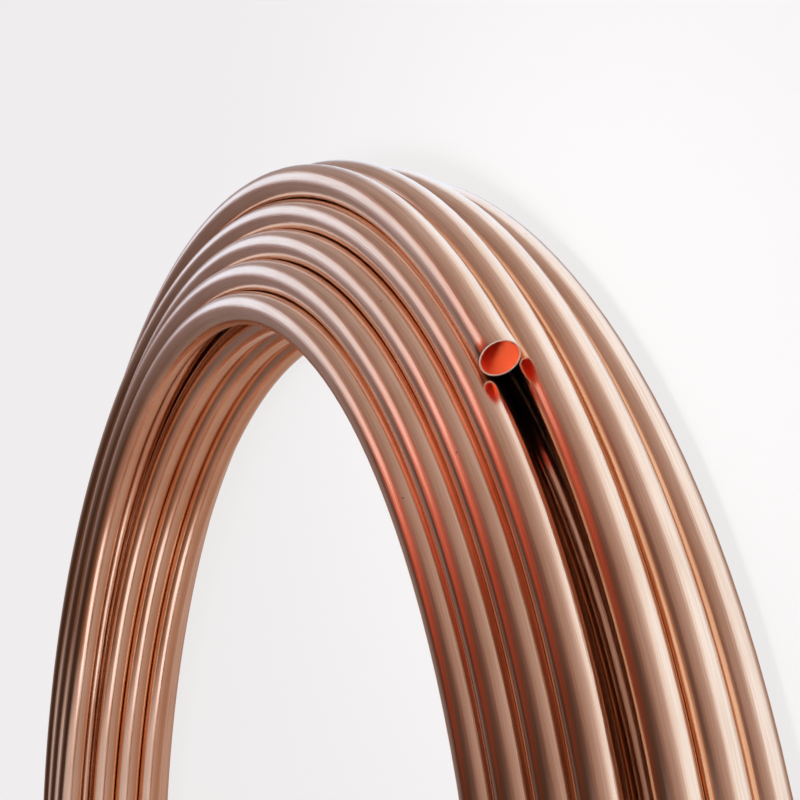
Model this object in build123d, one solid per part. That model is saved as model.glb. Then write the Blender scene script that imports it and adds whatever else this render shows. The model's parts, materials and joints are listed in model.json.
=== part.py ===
from math import acos, atan2, cos, degrees, radians, sin, sqrt
import os

from build123d import *

# a coil of soft copper tube, wound in layers from the bore outwards
# it lies on one end face, with its axis along Z and the face with the open tube end up

# the tube
tube_diameter = 15.0
tube_wall = 0.8

# the winding
first_layer_radius = 299.8  # centre line of the innermost turns
turn_gap = 0.1  # between neighbouring turns, along and across the layers
layer_turns = (5, 5, 5, 4, 4)  # from the bore outwards
layer_leads = (15.9, 12.0, 6.3, 0.8, 0.0)  # how far each layer's top turn stands above the outer layer's
web_height = 1.5  # skin of the core above the lines from turn centre to turn centre

# the free end of the outer layer's top turn, angles counted from +X towards +Y
mouth_angle = -60.0
straight_end = 25.0  # the last stretch, straight enough to take a fitting
hollow_arc = 15.0  # how far round the turn the tube is hollow past its straight end
web_setback = 3.0  # angle between the start of the straight end and the web under the turn

# the step from the top turn down into the lane of the turn below it
step_sweep = 282.0  # how far round from the mouth the turn leaves its lane
step_bend_radius = 220.0

tube_radius = tube_diameter / 2
bore_radius = tube_radius - tube_wall
turn_spacing = tube_diameter + turn_gap  # centre to centre

# each layer lies against the one inside it, top turn to top turn
layer_radii = [first_layer_radius]
for lead, next_lead in zip(layer_leads, layer_leads[1:]):
    layer_radii.append(layer_radii[-1] + sqrt(turn_spacing**2 - (lead - next_lead) ** 2))
outer_layer_radius = layer_radii[-1]

straight_start = mouth_angle + degrees(atan2(straight_end, outer_layer_radius))
web_start = straight_start + web_setback
step_start = mouth_angle + step_sweep
step_tilt = acos(step_bend_radius / outer_layer_radius)  # the bend leans so far that it stays on its layer
step_drop = step_bend_radius * sin(step_tilt)
step_reach = step_bend_radius * cos(step_tilt)


def turn_centre(layer, turn):
    """Radius and height of one turn's centre line."""
    return (layer_radii[layer], layer_leads[layer] - turn * turn_spacing)


def core(turns):
    """The filled inside of a group of turns, a little prouder than their centres."""
    corners = [turn_centre(*turn) for turn in turns]
    return offset(make_face(Polyline(*corners, close=True)), web_height, kind=Kind.INTERSECTION)


def turn_face(angle, radius):
    """A round of the outer layer's top turn, standing on its radius at one angle."""
    return Rot(0, 0, angle) * (Plane.XZ * (Pos(*turn_centre(last, 0)) * Circle(radius)))


def step_bend(drop):
    """How far the step has bent where it lies some way below its turn."""
    return acos(1 - drop / step_drop)


last = len(layer_turns) - 1
top_face = [(layer, 0) for layer in range(last)]
under_end = [(last - 1, 1)]
outside = [(last, turn) for turn in range(1, layer_turns[last])]
bottom_face = [(layer, layer_turns[layer] - 1) for layer in reversed(range(last))]
bore_side = [(0, turn) for turn in reversed(range(1, layer_turns[0] - 1))]
skin = top_face + under_end + outside + bottom_face + bore_side

# the whole turns: every turn that shows, round a filled core
winding = core(skin)
for turn in skin:
    winding += Pos(*turn_centre(*turn)) * Circle(tube_radius)
coil = revolve(Plane.XZ * winding, Axis.Z)

# the top turn, from its straight end round to its step, with the web that it lies on
# the web ends under the step, where the tube has begun to sink into the lane below
top_turn = revolve(turn_face(straight_start, tube_radius), Axis.Z, step_start - straight_start)
web = Plane.XZ * core([(last - 1, 0), (last, 0), (last, 1), (last - 1, 1)])
web_bend = step_bend(web_height)
web_lap = degrees(atan2(step_bend_radius * sin(web_bend), outer_layer_radius))
top_turn += revolve(Rot(0, 0, web_start) * web, Axis.Z, step_start + web_lap - web_start)

# the step: one bend, tangent to the turn
step_centre = (outer_layer_radius - step_reach, 0, layer_leads[last] - step_drop)
step_axis = Axis(step_centre, (-sin(step_tilt), 0, cos(step_tilt)))
step = revolve(turn_face(0, tube_radius), step_axis, degrees(step_bend(turn_spacing)))
top_turn += Rot(0, 0, step_start) * step

# the straight end, then the hollow inside it
way_out = Vector(sin(radians(straight_start)), -cos(radians(straight_start)), 0)
top_turn += extrude(turn_face(straight_start, tube_radius), straight_end, dir=way_out)
coil += top_turn
coil -= extrude(turn_face(straight_start, bore_radius), straight_end, dir=way_out)
coil -= revolve(turn_face(straight_start, bore_radius), Axis.Z, hollow_arc)

# its lowest turn on the floor
lowest = min(turn_centre(*turn)[1] for turn in skin) - tube_radius
coil = Pos(0, 0, -lowest) * coil

os.makedirs("parts", exist_ok=True)
export_step(coil, "parts/copper_tube_coil.step")
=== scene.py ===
import json
from math import atan2, ceil, cos, degrees, pi, radians, sin

import bmesh
import bpy
from mathutils import Matrix, Vector


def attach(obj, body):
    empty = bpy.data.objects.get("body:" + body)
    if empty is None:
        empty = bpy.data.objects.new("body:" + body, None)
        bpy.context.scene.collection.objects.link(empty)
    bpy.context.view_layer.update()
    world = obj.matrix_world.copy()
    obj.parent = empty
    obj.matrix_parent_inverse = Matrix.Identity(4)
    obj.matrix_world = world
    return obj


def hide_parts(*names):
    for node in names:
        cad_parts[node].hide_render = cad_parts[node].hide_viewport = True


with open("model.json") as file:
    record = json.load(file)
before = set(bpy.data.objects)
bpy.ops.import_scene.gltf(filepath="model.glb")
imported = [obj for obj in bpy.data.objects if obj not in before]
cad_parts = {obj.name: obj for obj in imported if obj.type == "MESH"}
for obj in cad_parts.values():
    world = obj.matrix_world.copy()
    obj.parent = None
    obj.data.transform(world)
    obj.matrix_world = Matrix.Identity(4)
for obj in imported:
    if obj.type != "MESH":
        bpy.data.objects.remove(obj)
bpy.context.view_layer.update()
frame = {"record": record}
mm = 0.001

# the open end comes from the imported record: its middle, the way it faces and its bore
endMount = next(m for m in frame["record"]["mounts"] if m["name"] == "tube_bore")
boreRadius = endMount["dims"]["r_mm"] * mm
straightEnd = endMount["dims"]["length_mm"] * mm
mouth = Vector(endMount["pos_m"]) + Vector(endMount["axis"]) * straightEnd / 2
mouthBearing = degrees(atan2(mouth.y, mouth.x))
topTurnHeight = mouth.z
print("frame loaded, mouth at", round(mouthBearing, 2), "degrees")


class Wire:
    # a shader socket that can be written in sums
    def __init__(self, tree, socket):
        self.tree = tree
        self.socket = socket

    def math(self, operation, *values):
        return addNode(self.tree, "ShaderNodeMath", {"operation": operation}, *values)

    def __add__(self, other):
        return self.math("ADD", self, other)

    def __radd__(self, other):
        return self.math("ADD", other, self)

    def __sub__(self, other):
        return self.math("SUBTRACT", self, other)

    def __rsub__(self, other):
        return self.math("SUBTRACT", other, self)

    def __mul__(self, other):
        return self.math("MULTIPLY", self, other)

    def __rmul__(self, other):
        return self.math("MULTIPLY", other, self)


def addNode(tree, kind, settings, *values, out=0, **named):
    node = tree.nodes.new(kind)
    for key, value in settings.items():
        if key == "stops":
            ramp = node.color_ramp
            while len(ramp.elements) < len(value):
                ramp.elements.new(1.0)
            for element, (place, colour) in zip(ramp.elements, value):
                element.position = place
                element.color = (*colour, 1.0)
        else:
            setattr(node, key, value)
    sockets = [(node.inputs[i], v) for i, v in enumerate(values)]
    for key, value in named.items():
        names = ((i, (i.identifier, i.name.replace(" ", "_"))) for i in node.inputs)
        sockets.append((next(i for i, both in names if key in both), value))
    for socket, value in sockets:
        if isinstance(value, Wire):
            tree.links.new(value.socket, socket)
        else:
            socket.default_value = value
    return Wire(tree, node.outputs[out])


def newMaterial(name):
    material = bpy.data.materials.new(name)
    material.use_nodes = True
    tree = material.node_tree
    return material, tree, tree.nodes["Principled BSDF"]


def joinTo(tree, value, socket):
    tree.links.new(value.socket, socket)


def mixColour(tree, share, first, second, blend="MIX"):
    settings = {"data_type": "RGBA", "blend_type": blend}
    return addNode(tree, "ShaderNodeMix", settings, share, out=2, A_Color=first, B_Color=second)


def smoothStep(tree, value, low, high):
    settings = {"interpolation_type": "SMOOTHSTEP"}
    return addNode(tree, "ShaderNodeMapRange", settings, value, From_Min=low, From_Max=high)


# the winding, from the open end inwards: the outer layer first, layer 0 lines the eye
# heights are counted from the open turn, and the outer turns lie a little unevenly
winding = {
    "tubeRadius": 7.5 * mm,
    "layerRadius": [299.7 * mm, 314.25 * mm, 328.2 * mm, 342.15 * mm],
    "layerLead": [15.9 * mm, 12.0 * mm, 6.3 * mm, 0.7 * mm],
    "underRadius": [299.7 * mm, 314.25 * mm, 328.2 * mm, 341.15 * mm],  # of the turns below the top one
    "underDrop": [11.4 * mm, 0.0, 0.0, 17.05 * mm],  # two layers leave a groove under their top turn
    "layerTurns": [4, 5, 5, 3],
    "swayRadius": [-0.5 * mm, 0.0, 0.0, 1.1 * mm],  # how far the top turns lean, and where
    "swayDrop": [6.0 * mm, 0.5 * mm, 0.0, -8.7 * mm],
    "swayBearing": 120.0,  # degrees from the mouth
    "swayHalf": 90.0,
    "turnPitch": 15.1 * mm,
    "outerRadius": [357.2 * mm, 356.0 * mm, 357.5 * mm, 355.8 * mm],
    "outerDrop": [0.0, 15.05 * mm, 30.1 * mm, 45.05 * mm],
    "swellRadius": [0.0, 5.4 * mm, 2.6 * mm, 1.0 * mm],  # how far the outer turns bulge, and where
    "swellDrop": [0.0, -0.45 * mm, -0.45 * mm, -0.7 * mm],
    "swellBearing": 45.0,  # degrees from the mouth
    "swellHalf": 60.0,
    "firstStep": 294.0,  # degrees from the mouth to the first step between lanes
    "stagger": 15.0,  # each layer steps this much earlier than the one over it
    "stepHalf": 18.0,
    "endShort": 38.0,  # the inner end stops this far short of a whole turn
    "sides": 24,
    "perTurn": 160,
    "straightPieces": 4,
}


def laneOf(layer, turn):
    w = winding
    if layer == len(w["layerRadius"]):
        swell = (w["swellRadius"][turn], -w["swellDrop"][turn])
        return w["outerRadius"][turn], topTurnHeight - w["outerDrop"][turn], *swell, 0.0, 0.0
    height = topTurnHeight + w["layerLead"][layer] - turn * w["turnPitch"]
    if turn == 0:
        return w["layerRadius"][layer], height, 0.0, 0.0, w["swayRadius"][layer], -w["swayDrop"][layer]
    return w["underRadius"][layer], height - w["underDrop"][layer], 0.0, 0.0, 0.0, 0.0


def planLanes():
    w = winding
    outer = len(w["layerRadius"])
    lanes = [(outer, turn) for turn in range(len(w["outerRadius"]))]
    for layer in reversed(range(outer)):
        turns = list(range(w["layerTurns"][layer]))
        lanes += [(layer, turn) for turn in (reversed(turns) if layer % 2 else turns)]
    leaves = [w["firstStep"]]
    for before, now, after in zip(lanes, lanes[1:], lanes[2:]):
        changes = (before[0] != now[0]) + (now[0] != after[0])
        leaves.append(leaves[-1] + 360 - w["stagger"] * changes)
    return [laneOf(*lane) for lane in lanes], leaves, leaves[-1] + 360 - w["endShort"]


def humpAt(sweep, bearing, half):
    away = (sweep - bearing + 180) % 360 - 180
    return cos(radians(away * 90 / half)) ** 2 if abs(away) < half else 0.0


def tubeLine():
    w = winding
    lanes, leaves, end = planLanes()
    firstRadius = lanes[0][0]
    bend = degrees(atan2(straightEnd, firstRadius))
    corner = radians(mouthBearing + bend)
    start = Vector((firstRadius * cos(corner), firstRadius * sin(corner), lanes[0][1]))
    wayOut = Vector((sin(corner), -cos(corner), 0))
    pieces = w["straightPieces"]
    straight = [start + wayOut * straightEnd * k / pieces for k in range(pieces, 0, -1)]
    count = ceil((end - bend) / 360 * w["perTurn"])
    points = []
    for k in range(count + 1):
        sweep = bend + (end - bend) * k / count
        lane = list(lanes[0])
        for leave, here, there in zip(leaves, lanes, lanes[1:]):
            t = min(max((sweep - leave + w["stepHalf"]) / (2 * w["stepHalf"]), 0), 1)
            ease = t * t * t * (t * (6 * t - 15) + 10)
            lane = [now + ease * (after - before) for now, before, after in zip(lane, here, there)]
        swell = humpAt(sweep, w["swellBearing"], w["swellHalf"])
        sway = humpAt(sweep, w["swayBearing"], w["swayHalf"])
        radius = lane[0] + lane[2] * swell + lane[4] * sway
        height = lane[1] + lane[3] * swell + lane[5] * sway
        angle = radians(mouthBearing + sweep)
        points.append(Vector((radius * cos(angle), radius * sin(angle), height)))
    return straight + points, wayOut


def windCoil():
    w = winding
    points, wayOut = tubeLine()
    curve = bpy.data.curves.new("tubeLine", "CURVE")
    curve.dimensions = "3D"
    curve.twist_mode = "Z_UP"
    curve.bevel_depth = w["tubeRadius"]
    curve.bevel_resolution = w["sides"] // 2 - 2
    spline = curve.splines.new("POLY")
    spline.points.add(len(points) - 1)
    for point, place in zip(spline.points, points):
        point.co = (*place, 1)
    line = bpy.data.objects.new("tubeLine", curve)
    mesh = bpy.data.meshes.new_from_object(line)
    bpy.data.objects.remove(line)
    length = sum((b - a).length for a, b in zip(points, points[1:]))
    print("tube wound,", len(mesh.polygons), "faces,", round(length, 1), "m")
    return mesh, wayOut, length


# the two cut ends of the tube: wall, bore and the small rounds that the cutter leaves
tubeEnd = {
    "rimRound": 0.22 * mm,
    "roundSegments": 2,
    "hollowTurn": 40.0,  # degrees of the turn that are hollow behind the cut
    "hollowSteps": 18,
    "innerHollowTurn": 12.0,
    "innerHollowSteps": 5,
}


def endLoops(bm):
    rims = [e for e in bm.edges if e.is_boundary]
    first = [e for e in rims if (e.verts[0].co - mouth).length < 2 * winding["tubeRadius"]]
    return first, [e for e in rims if e not in first]


def loopCentre(verts):
    return sum((v.co for v in verts), Vector()) / len(verts)


def openEnd(bm, rim, straight, hollowTurn, steps):
    outerVerts = list({v for e in rim for v in e.verts})
    centre = loopCentre(outerVerts)
    grown = bmesh.ops.extrude_edge_only(bm, edges=rim)["geom"]
    inner = [g for g in grown if isinstance(g, bmesh.types.BMEdge) and g.is_boundary]
    innerVerts = [g for g in grown if isinstance(g, bmesh.types.BMVert)]
    share = boreRadius / winding["tubeRadius"]
    bmesh.ops.scale(bm, vec=(share, share, share), space=Matrix.Translation(-centre), verts=innerVerts)
    rimFaces = {f for e in inner for f in e.link_faces}
    lips = list(rim) + inner
    if straight is not None:
        grown = bmesh.ops.extrude_edge_only(bm, edges=inner)["geom"]
        inner = [g for g in grown if isinstance(g, bmesh.types.BMEdge) and g.is_boundary]
        moved = [g for g in grown if isinstance(g, bmesh.types.BMVert)]
        bmesh.ops.translate(bm, vec=straight, verts=moved)
    spun = bmesh.ops.spin(bm, geom=inner, axis=(0, 0, 1), cent=(0, 0, 0),
                          angle=radians(hollowTurn), steps=steps)
    last = [g for g in spun["geom_last"] if isinstance(g, bmesh.types.BMEdge)]
    bmesh.ops.contextual_create(bm, geom=last)
    return rimFaces, lips


def cutEnds(mesh, wayOut):
    t = tubeEnd
    bm = bmesh.new()
    bm.from_mesh(mesh)
    skinFaces = set(bm.faces)
    first, last = endLoops(bm)
    firstRim, firstLips = openEnd(bm, first, -wayOut * straightEnd, t["hollowTurn"], t["hollowSteps"])
    lastRim, lastLips = openEnd(bm, last, None, -t["innerHollowTurn"], t["innerHollowSteps"])
    for face in bm.faces:
        face.material_index = 0 if face in skinFaces else 2
        face.smooth = True
    for face in firstRim | lastRim:
        face.material_index = 1
    lips = firstLips + lastLips
    bmesh.ops.bevel(bm, geom=lips, offset=t["rimRound"], offset_type="OFFSET", affect="EDGES",
                    segments=t["roundSegments"], profile=0.5, material=-1)
    bmesh.ops.recalc_face_normals(bm, faces=bm.faces)
    bm.to_mesh(mesh)
    bm.free()
    print("ends cut,", len(mesh.polygons), "faces")


# the drawn skin: lines along the tube, a slow change of sheen and tint, and a few dark specks
skin = {
    "bright": (0.97, 0.665, 0.475, 1),
    "dull": (0.86, 0.555, 0.375, 1),
    "speck": (0.55, 0.31, 0.20, 1),
    "lineTint": 0.6,  # how much of the tint follows the lines, and how much the patches
    "patchTint": 0.4,
    "tintEdge": (0.35, 0.65),
    "roughness": 0.125,
    "lineRough": 0.05,
    "patchRough": 0.05,
    "speckRough": 0.3,
    "lineLength": 30 * mm,
    "lineWidth": 0.7 * mm,
    "lineDepth": 0.05 * mm,
    "lineDetail": 3.0,
    "lineBreak": 0.6,
    "patchScale": 26.0,
    "patchDetail": 2.0,
    "speckScale": 120.0,
    "speckShare": 0.09,
    "speckEdge": (0.08, 0.03),
}


def shadeCopper(tubeLength):
    material, tree, shader = newMaterial("drawnCopper")
    shader.inputs["Metallic"].default_value = 1.0
    unrolled = addNode(tree, "ShaderNodeTexCoord", {}, out=2)
    place = addNode(tree, "ShaderNodeTexCoord", {}, out=3)
    tall = 2 * pi * winding["tubeRadius"]
    stretch = (tubeLength / skin["lineLength"], tall / skin["lineWidth"], 0)
    drawn = addNode(tree, "ShaderNodeVectorMath", {"operation": "MULTIPLY"}, unrolled, stretch)
    lines = addNode(tree, "ShaderNodeTexNoise", {}, drawn, Scale=1.0,
                    Detail=skin["lineDetail"], Roughness=skin["lineBreak"])
    patches = addNode(tree, "ShaderNodeTexNoise", {}, place,
                      Scale=skin["patchScale"], Detail=skin["patchDetail"])
    away = addNode(tree, "ShaderNodeTexVoronoi", {}, place, Scale=skin["speckScale"])
    chance = addNode(tree, "ShaderNodeTexVoronoi", {}, place, out=1, Scale=skin["speckScale"])
    chosen = addNode(tree, "ShaderNodeSeparateColor", {}, chance)
    picked = chosen.math("LESS_THAN", chosen, skin["speckShare"])
    speck = smoothStep(tree, away, *skin["speckEdge"]) * picked
    sheen = smoothStep(tree, skin["lineTint"] * lines + skin["patchTint"] * patches, *skin["tintEdge"])
    tint = mixColour(tree, sheen, skin["dull"], skin["bright"])
    joinTo(tree, mixColour(tree, speck, tint, skin["speck"]), shader.inputs["Base Color"])
    rough = skin["roughness"] + skin["lineRough"] * lines + skin["patchRough"] * patches
    joinTo(tree, rough + skin["speckRough"] * speck, shader.inputs["Roughness"])
    grain = addNode(tree, "ShaderNodeBump", {}, Strength=1.0, Distance=skin["lineDepth"], Height=lines)
    joinTo(tree, grain, shader.inputs["Normal"])
    return material


# the cut rim, and the bore, whose deep red base colour is a painted reflection: it stands in for the red
# glow of the bore's own inner reflections
endFinish = {
    "cutCopper": {"Metallic": 0.9, "Base Color": (0.95, 0.72, 0.60, 1), "Roughness": 0.45},
    # painted reflection: the bore's red base colour copies the glow of its many inner bounces
    "copperInside": {"Metallic": 0.5, "Base Color": (0.90, 0.15, 0.05, 1), "Roughness": 0.5},
}


def shadeEnd(name):
    material, _, shader = newMaterial(name)
    for socket, value in endFinish[name].items():
        shader.inputs[socket].default_value = value
    return material


tubeMesh, tubeWay, tubeLength = windCoil()
cutEnds(tubeMesh, tubeWay)
coil = bpy.data.objects.new("copper_tube", tubeMesh)
bpy.context.collection.objects.link(coil)
for material in (shadeCopper(tubeLength), *(shadeEnd(name) for name in endFinish)):
    coil.data.materials.append(material)
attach(coil, "root")
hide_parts("copper_tube_coil")


def skyWay(bearing, height):
    turn, rise = radians(bearing), radians(height)
    return Vector((cos(turn) * cos(rise), sin(turn) * cos(rise), sin(rise)))


# the stage: a pale floor that is white to the lens and keeps the shadow
# to the metal it glows with painted light and shade: painted brown shade in the eye, a painted dark contact
# shadow under the coil, a painted bright pool of light beside it, duller far off and dimmer away from one
# side
stage = {
    "half": 12.0,
    "colour": (0.80, 0.79, 0.79, 1),
    "white": (0.94, 0.925, 0.93, 1),
    "lensShare": 0.86,
    "metalShare": 0.9,
    "roughness": 0.9,
    "paintedLightReach": 1.2,  # metres at the end of the stops
    # painted shade: brown in the eye with a lighter band, then a painted contact shadow under the coil
    "paintedEyeAndContactShade": [
        (0.14, (0.48, 0.42, 0.43)),
        (0.18, (0.46, 0.36, 0.33)),
        (0.21, (0.46, 0.32, 0.27)),
        (0.24, (0.38, 0.23, 0.17)),
        (0.255, (0.55, 0.44, 0.42)),
        (0.300, (0.30, 0.18, 0.12)),
        (0.308, (0.98, 1.24, 1.56)),
    ],
    # painted pool of light beside the coil, fading far off
    "paintedFloorGlow": [
        (0.36, (0.98, 1.23, 1.52)),
        (0.40, (0.96, 1.09, 1.27)),
        (0.52, (0.80, 0.80, 0.89)),
        (0.90, (0.64, 0.59, 0.62)),
    ],
    # the same painted light, dimmer away from the lit side
    "paintedDimSide": [
        (0.35, (0.80, 0.91, 1.07)),
        (0.40, (0.42, 0.39, 0.44)),
        (0.90, (0.36, 0.32, 0.34)),
    ],
    "paintedLightBearing": -60.0,
    "paintedLightEdge": (0.35, 0.9),
}


def layFloor():
    bm = bmesh.new()
    bmesh.ops.create_grid(bm, x_segments=1, y_segments=1, size=stage["half"])
    mesh = bpy.data.meshes.new("floor")
    bm.to_mesh(mesh)
    bm.free()
    floor = bpy.data.objects.new("floor", mesh)
    bpy.context.collection.objects.link(floor)
    material, tree, shader = newMaterial("paleFloor")
    shader.inputs["Base Color"].default_value = stage["colour"]
    shader.inputs["Roughness"].default_value = stage["roughness"]
    place = addNode(tree, "ShaderNodeTexCoord", {}, out=3)
    reach = addNode(tree, "ShaderNodeVectorMath", {"operation": "LENGTH"}, place, out=1)
    far = reach * (1 / stage["paintedLightReach"])
    # painted light and shade that the metal sees on the floor, by distance from the coil and by side
    dim, bright = (addNode(tree, "ShaderNodeValToRGB", {"stops": stage["paintedEyeAndContactShade"] + stage[side]}, far)
                   for side in ("paintedDimSide", "paintedFloorGlow"))
    way = addNode(tree, "ShaderNodeVectorMath", {"operation": "NORMALIZE"}, place)
    towards = skyWay(stage["paintedLightBearing"], 0)
    facing = addNode(tree, "ShaderNodeVectorMath", {"operation": "DOT_PRODUCT"}, way, towards, out=1)
    paintedLightSeen = mixColour(tree, smoothStep(tree, facing, *stage["paintedLightEdge"]), dim, bright)
    lensRay = addNode(tree, "ShaderNodeLightPath", {}, out=0)
    glossRay = Wire(tree, lensRay.socket.node.outputs["Is Glossy Ray"])
    clearRay = Wire(tree, lensRay.socket.node.outputs["Is Transmission Ray"])
    metalRay = glossRay.math("MAXIMUM", glossRay, clearRay)
    paintedFloorGlow = addNode(tree, "ShaderNodeEmission", {}, mixColour(tree, lensRay, paintedLightSeen, stage["white"]))
    share = lensRay * stage["lensShare"] + metalRay * stage["metalShare"]
    blend = addNode(tree, "ShaderNodeMixShader", {}, share, Wire(tree, shader.outputs[0]), paintedFloorGlow)
    joinTo(tree, blend, tree.nodes["Material Output"].inputs["Surface"])
    mesh.materials.append(material)
    print("floor laid")


layFloor()

# the studio round it: a room with a bright and a dark side, from the horizon up, and soft panels
# a panel reaches from one (bearing, height) to another in degrees, with the same light or two at these ends
studio = {
    "brightSide": [
        (0.0, (0.58, 0.52, 0.54)),
        (0.17, (0.48, 0.41, 0.41)),
        (0.34, (0.43, 0.35, 0.35)),
        (0.64, (0.38, 0.28, 0.26)),
        (0.80, (0.22, 0.13, 0.12)),
        (0.95, (0.11, 0.07, 0.06)),
    ],
    "darkSide": [
        (0.0, (0.26, 0.22, 0.22)),
        (0.34, (0.17, 0.13, 0.13)),
        (0.5, (0.10, 0.07, 0.06)),
        (0.64, (0.05, 0.03, 0.02)),
    ],
    "brightBearing": -40.0,
    "sideEdge": (-0.35, 0.9),
    "panels": [
        {
            "ends": ((55.0, 13.0), (33.0, 43.0)),  # the cool strip along the top turns
            "spread": 17.0,
            "light": [(0.0, (0, 0, 0)), (0.25, (0.05, 0.05, 0.06)), (0.45, (0.34, 0.39, 0.50)),
                      (0.6, (0.66, 0.98, 1.38))],
            "endLight": [(0.0, (0, 0, 0)), (0.25, (0.05, 0.00, 0.00)), (0.45, (0.26, 0.08, 0.05)),
                         (0.6, (0.56, 0.35, 0.32)), (0.75, (0.68, 0.76, 0.90))],
        },
        {
            "ends": ((48.0, 48.0), (12.0, 50.0)),  # the red strip over it
            "spread": 14.0,
            "light": [(0.0, (0, 0, 0)), (0.3, (0.16, 0.01, 0.00)), (0.7, (0.44, 0.07, 0.04))],
            "endLight": [(0.0, (0, 0, 0)), (0.3, (0.08, 0.00, 0.00)), (0.7, (0.26, 0.02, 0.00))],
        },
        {
            "ends": ((62.0, 57.0), (25.0, 65.0)),  # and its faint upper edge
            "spread": 12.0,
            "light": [(0.0, (0, 0, 0)), (0.6, (0.13, 0.01, 0.00))],
            "endLight": [(0.0, (0, 0, 0)), (0.6, (0.10, 0.01, 0.00))],
        },
        {
            "ends": ((179.0, 17.0), (205.0, 14.0)),  # the bright lines on the eye's wall
            "spread": 20.0,
            "light": [(0.0, (0, 0, 0)), (0.35, (0.20, 0.13, 0.10)), (0.65, (0.90, 1.12, 1.38))],
        },
        {
            "ends": ((150.0, 16.0), (185.0, 28.0)),  # a warm fill for that wall
            "spread": 38.0,
            "light": [(0.0, (0, 0, 0)), (0.7, (0.16, 0.08, 0.06))],
            "endLight": [(0.0, (0, 0, 0)), (0.7, (0.22, 0.11, 0.07))],
        },
        {
            "ends": ((66.0, 16.0), (98.0, 34.0)),  # a pale fill for the far side
            "spread": 16.0,
            "light": [(0.0, (0, 0, 0)), (0.6, (0.08, 0.07, 0.09))],
            "endLight": [(0.0, (0, 0, 0)), (0.6, (0.06, 0.05, 0.06))],
        },
        {
            "ends": ((-128.0, 30.0), (-128.0, 60.0)),  # the panel in front
            "spread": 30.0,
            "light": [(0.0, (0, 0, 0)), (0.5, (0.50, 0.52, 0.60))],
        },
    ],
    "white": (0.88, 0.865, 0.87, 1),
    "lamps": [
        {"place": (0.3, 0.2, 3.0), "aim": (0, 0, 0), "size": 2.4, "power": 22.0, "spread": 180.0},
        {"place": (-0.50, -1.10, 1.15), "aim": mouth, "size": 0.3, "power": 0.55, "spread": 18.0},
    ],
}


def panelLight(tree, way, panel):
    first, last = (skyWay(*end) for end in panel["ends"])
    along = last - first
    offset = addNode(tree, "ShaderNodeVectorMath", {"operation": "SUBTRACT"}, way, first)
    share = addNode(tree, "ShaderNodeVectorMath", {"operation": "DOT_PRODUCT"}, offset, along, out=1)
    share = addNode(tree, "ShaderNodeMapRange", {}, share, From_Max=along.length_squared)
    reached = addNode(tree, "ShaderNodeVectorMath", {"operation": "SCALE"}, along, Scale=share)
    away = addNode(tree, "ShaderNodeVectorMath", {"operation": "DISTANCE"}, offset, reached, out=1)
    near = 1 - away * (1 / radians(panel["spread"]))
    ends = (panel["light"], panel.get("endLight", panel["light"]))
    lights = (addNode(tree, "ShaderNodeValToRGB", {"stops": stops}, near) for stops in ends)
    return mixColour(tree, share, *lights)


def lightStudio():
    world = bpy.data.worlds.new("studio")
    bpy.context.scene.world = world
    world.use_nodes = True
    tree = world.node_tree
    way = addNode(tree, "ShaderNodeTexCoord", {}, out=0)
    way = addNode(tree, "ShaderNodeVectorMath", {"operation": "NORMALIZE"}, way)
    height = addNode(tree, "ShaderNodeSeparateXYZ", {}, way, out=2)
    dark, bright = (addNode(tree, "ShaderNodeValToRGB", {"stops": studio[side]}, height)
                    for side in ("darkSide", "brightSide"))
    towards = skyWay(studio["brightBearing"], 0)
    facing = addNode(tree, "ShaderNodeVectorMath", {"operation": "DOT_PRODUCT"}, way, towards, out=1)
    colour = mixColour(tree, smoothStep(tree, facing, *studio["sideEdge"]), dark, bright)
    for panel in studio["panels"]:
        colour = mixColour(tree, 1.0, colour, panelLight(tree, way, panel), "ADD")
    lensRay = addNode(tree, "ShaderNodeLightPath", {}, out=0)
    colour = mixColour(tree, lensRay, colour, studio["white"])
    joinTo(tree, colour, tree.nodes["Background"].inputs["Color"])
    for each in studio["lamps"]:
        light = bpy.data.lights.new("softLamp", "AREA")
        light.energy = each["power"]
        light.size = each["size"]
        light.spread = radians(each["spread"])
        lamp = bpy.data.objects.new("softLamp", light)
        lamp.location = each["place"]
        away = Vector(each["place"]) - Vector(each["aim"])
        lamp.rotation_euler = away.to_track_quat("Z", "Y").to_euler()
        lamp.visible_glossy = False
        bpy.context.collection.objects.link(lamp)
    print("studio lit")


lightStudio()

# the camera, placed from the mouth: bearings in degrees round the coil, heights above the top turn
lens = {
    "bearing": -30.33,
    "reach": 742.7 * mm,
    "height": 244.1 * mm,
    "aimBearing": 9.82,
    "aimReach": 300.6 * mm,
    "roll": -86.4,
    "focal": 72.24,
    "sensor": 36.0,
    "nearest": 0.02,
}


def roundPoint(bearing, reach, height):
    angle = radians(mouthBearing + bearing)
    return Vector((reach * cos(angle), reach * sin(angle), topTurnHeight + height))


def placeCamera():
    data = bpy.data.cameras.new("camera")
    data.lens = lens["focal"]
    data.sensor_width = lens["sensor"]
    data.clip_start = lens["nearest"]
    camera = bpy.data.objects.new("camera", data)
    bpy.context.collection.objects.link(camera)
    place = roundPoint(lens["bearing"], lens["reach"], lens["height"])
    aim = roundPoint(lens["aimBearing"], lens["aimReach"], 0)
    turn = (aim - place).to_track_quat("-Z", "Y").to_matrix().to_4x4()
    roll = Matrix.Rotation(radians(lens["roll"]), 4, "Z")
    camera.matrix_world = Matrix.Translation(place) @ turn @ roll
    bpy.context.scene.camera = camera
    print("camera placed")


placeCamera()
bpy.context.scene.view_settings.view_transform = "Standard"
